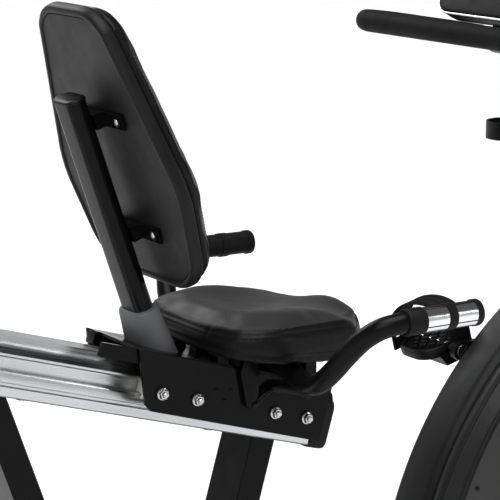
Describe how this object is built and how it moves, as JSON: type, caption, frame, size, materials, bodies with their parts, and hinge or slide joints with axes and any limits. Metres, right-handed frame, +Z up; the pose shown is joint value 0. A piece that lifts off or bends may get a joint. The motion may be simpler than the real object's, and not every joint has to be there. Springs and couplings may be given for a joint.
{
  "type": "recumbent exercise bike",
  "caption": "Recumbent exercise bike: seat with backrest and pulse grips sliding on an inclined rail, covered crank drive with strapped pedals, mast with hand loop, display and bottle holder.",
  "frame": {"origin": "on the floor, under the middle of the whole machine's length and width", "axes": "+X forward towards the pedals and drive, +Y to the rider's left, +Z up"},
  "size_m": [1.5766, 0.6328, 1.1601],
  "materials": {
    "gloss_black": "gloss black powder coat on steel tube and plate",
    "rail_alu": "bright brushed aluminium extrusion",
    "cover_plastic": "dark grey moulded plastic with a fine texture",
    "panel_plastic": "mid grey moulded plastic side panel",
    "boot_plastic": "light grey moulded post cover",
    "black_plastic": "black moulded plastic with a fine grain",
    "bezel_plastic": "dark satin console bezel",
    "screen": "dark display window with a plain lit readout",
    "shell_plastic": "dark grey moulded backrest shell",
    "vinyl": "satin black sewn vinyl over foam",
    "foam_grip": "soft black foam and rubber grip",
    "foot_rubber": "black rubber and hard plastic foot",
    "wheel_rubber": "dark grey transport wheel",
    "strap": "flexible black foot strap",
    "belt_rubber": "ribbed black drive belt",
    "chrome": "polished chrome pulse contacts",
    "zinc": "bright zinc plated fasteners",
    "bare_steel": "machined steel",
    "flywheel_iron": "turned cast iron",
    "crank_steel": "satin black forged crank",
    "pulley_plastic": "glass-filled nylon pulley",
    "brake_core": "lacquered brake magnet",
    "acetal": "off-white low-friction plastic",
    "pad_rubber": "dark grey friction pad",
    "key_green": "green key",
    "key_red": "red key",
    "key_grey": "grey key"
  },
  "bodies": {
    "root": {"base_beam": "gloss_black", "rear_stabilizer": "gloss_black", "front_stabilizer": "gloss_black", "stabilizer_caps": "foot_rubber", "rear_leg": "gloss_black", "middle_leg": "gloss_black", "seat_rail": "rail_alu", "rail_end_caps": "black_plastic", "frame_screws": "zinc", "front_frame": "gloss_black", "bearings": "bare_steel", "mast": "gloss_black", "mast_collar": "cover_plastic", "bottle_holder": "black_plastic", "shroud_right": "cover_plastic", "shroud_left": "cover_plastic", "side_panels": "panel_plastic", "power_inlet": "black_plastic", "brake_magnet": "brake_core", "drive_belt": "belt_rubber", "console_back": "black_plastic", "console_bezel": "bezel_plastic", "console_screen": "screen", "front_handlebar": "gloss_black", "handlebar_foam": "foam_grip"},
    "seat": {"carriage_plates": "gloss_black", "carriage_frame": "gloss_black", "glide_blocks": "acetal", "seat_bolts": "zinc", "seat_handlebar": "gloss_black", "grip_sleeves": "foam_grip", "pulse_plates": "chrome", "seat_pan": "black_plastic", "seat_cushion": "vinyl", "seat_post": "gloss_black", "post_cap": "black_plastic", "post_boot": "boot_plastic", "backrest_brackets": "gloss_black", "backrest_shell": "shell_plastic", "backrest_cushion": "vinyl"},
    "lever": {"seat_lever": "gloss_black"},
    "lock": {"lock_pad": "pad_rubber"},
    "flywheel": {"flywheel": "flywheel_iron", "flywheel_axle": "bare_steel"},
    "crank": {"crank_axle": "bare_steel", "drive_pulley": "pulley_plastic", "crank_arms": "crank_steel", "pedal_spindles": "zinc"},
    "pedal_right": {"pedal_right": "black_plastic", "pedal_strap_right": "strap"},
    "pedal_left": {"pedal_left": "black_plastic", "pedal_strap_left": "strap"},
    "transport_wheel_right": {"transport_wheel_right": "wheel_rubber"},
    "transport_wheel_left": {"transport_wheel_left": "wheel_rubber"},
    "leveler_right": {"leveler_right": "foot_rubber"},
    "leveler_left": {"leveler_left": "foot_rubber"},
    "key_start": {"key_start": "key_green"},
    "key_stop": {"key_stop": "key_red"},
    "key_up": {"key_up": "key_grey"},
    "key_down": {"key_down": "key_grey"}
  },
  "joints": [
    {"name": "seat_slide", "type": "slide", "parent": "root", "child": "seat", "axis": [-0.9598, 0, 0.2807], "range_m": [0, 0.35]},
    {"name": "lever_pull", "type": "hinge", "parent": "seat", "child": "lever", "pos_m": [-0.20462, 0, 0.46444], "axis": [0, 1, 0], "range_deg": [0, 12], "stiffness_Nm_per_rad": 8},
    {"name": "lock_lift", "type": "slide", "parent": "seat", "child": "lock", "axis": [0.2807, 0, 0.9598], "range_m": [0, 0.003]},
    {"name": "flywheel_spin", "type": "hinge", "parent": "root", "child": "flywheel", "pos_m": [0.64, 0, 0.25], "axis": [0, 1, 0], "continuous": true},
    {"name": "crank_spin", "type": "hinge", "parent": "root", "child": "crank", "pos_m": [0.47, 0, 0.383], "axis": [0, 1, 0], "continuous": true},
    {"name": "pedal_right_spin", "type": "hinge", "parent": "crank", "child": "pedal_right", "pos_m": [0.64, -0.158, 0.383], "axis": [0, 1, 0], "continuous": true},
    {"name": "pedal_left_spin", "type": "hinge", "parent": "crank", "child": "pedal_left", "pos_m": [0.3, 0.158, 0.383], "axis": [0, 1, 0], "continuous": true},
    {"name": "transport_wheel_right_spin", "type": "hinge", "parent": "root", "child": "transport_wheel_right", "pos_m": [0.734, -0.18, 0.038], "axis": [0, 1, 0], "continuous": true},
    {"name": "transport_wheel_left_spin", "type": "hinge", "parent": "root", "child": "transport_wheel_left", "pos_m": [0.734, 0.18, 0.038], "axis": [0, 1, 0], "continuous": true},
    {"name": "leveler_right_turn", "type": "hinge", "parent": "root", "child": "leveler_right", "pos_m": [-0.715, -0.225, 0.03], "axis": [0, 0, 1], "continuous": true},
    {"name": "leveler_left_turn", "type": "hinge", "parent": "root", "child": "leveler_left", "pos_m": [-0.715, 0.225, 0.03], "axis": [0, 0, 1], "continuous": true},
    {"name": "key_start_press", "type": "slide", "parent": "root", "child": "key_start", "axis": [0.866, 0, -0.5], "range_m": [0, 0.002], "stiffness_N_per_m": 600},
    {"name": "key_stop_press", "type": "slide", "parent": "root", "child": "key_stop", "axis": [0.866, 0, -0.5], "range_m": [0, 0.002], "stiffness_N_per_m": 600},
    {"name": "key_up_press", "type": "slide", "parent": "root", "child": "key_up", "axis": [0.866, 0, -0.5], "range_m": [0, 0.002], "stiffness_N_per_m": 600},
    {"name": "key_down_press", "type": "slide", "parent": "root", "child": "key_down", "axis": [0.866, 0, -0.5], "range_m": [0, 0.002], "stiffness_N_per_m": 600}
  ],
  "couplings": [
    {"joint": "crank_spin", "follows": "flywheel_spin", "ratio": 0.2381},
    {"joint": "lock_lift", "follows": "lever_pull", "m_per_rad": 0.01432}
  ]
}
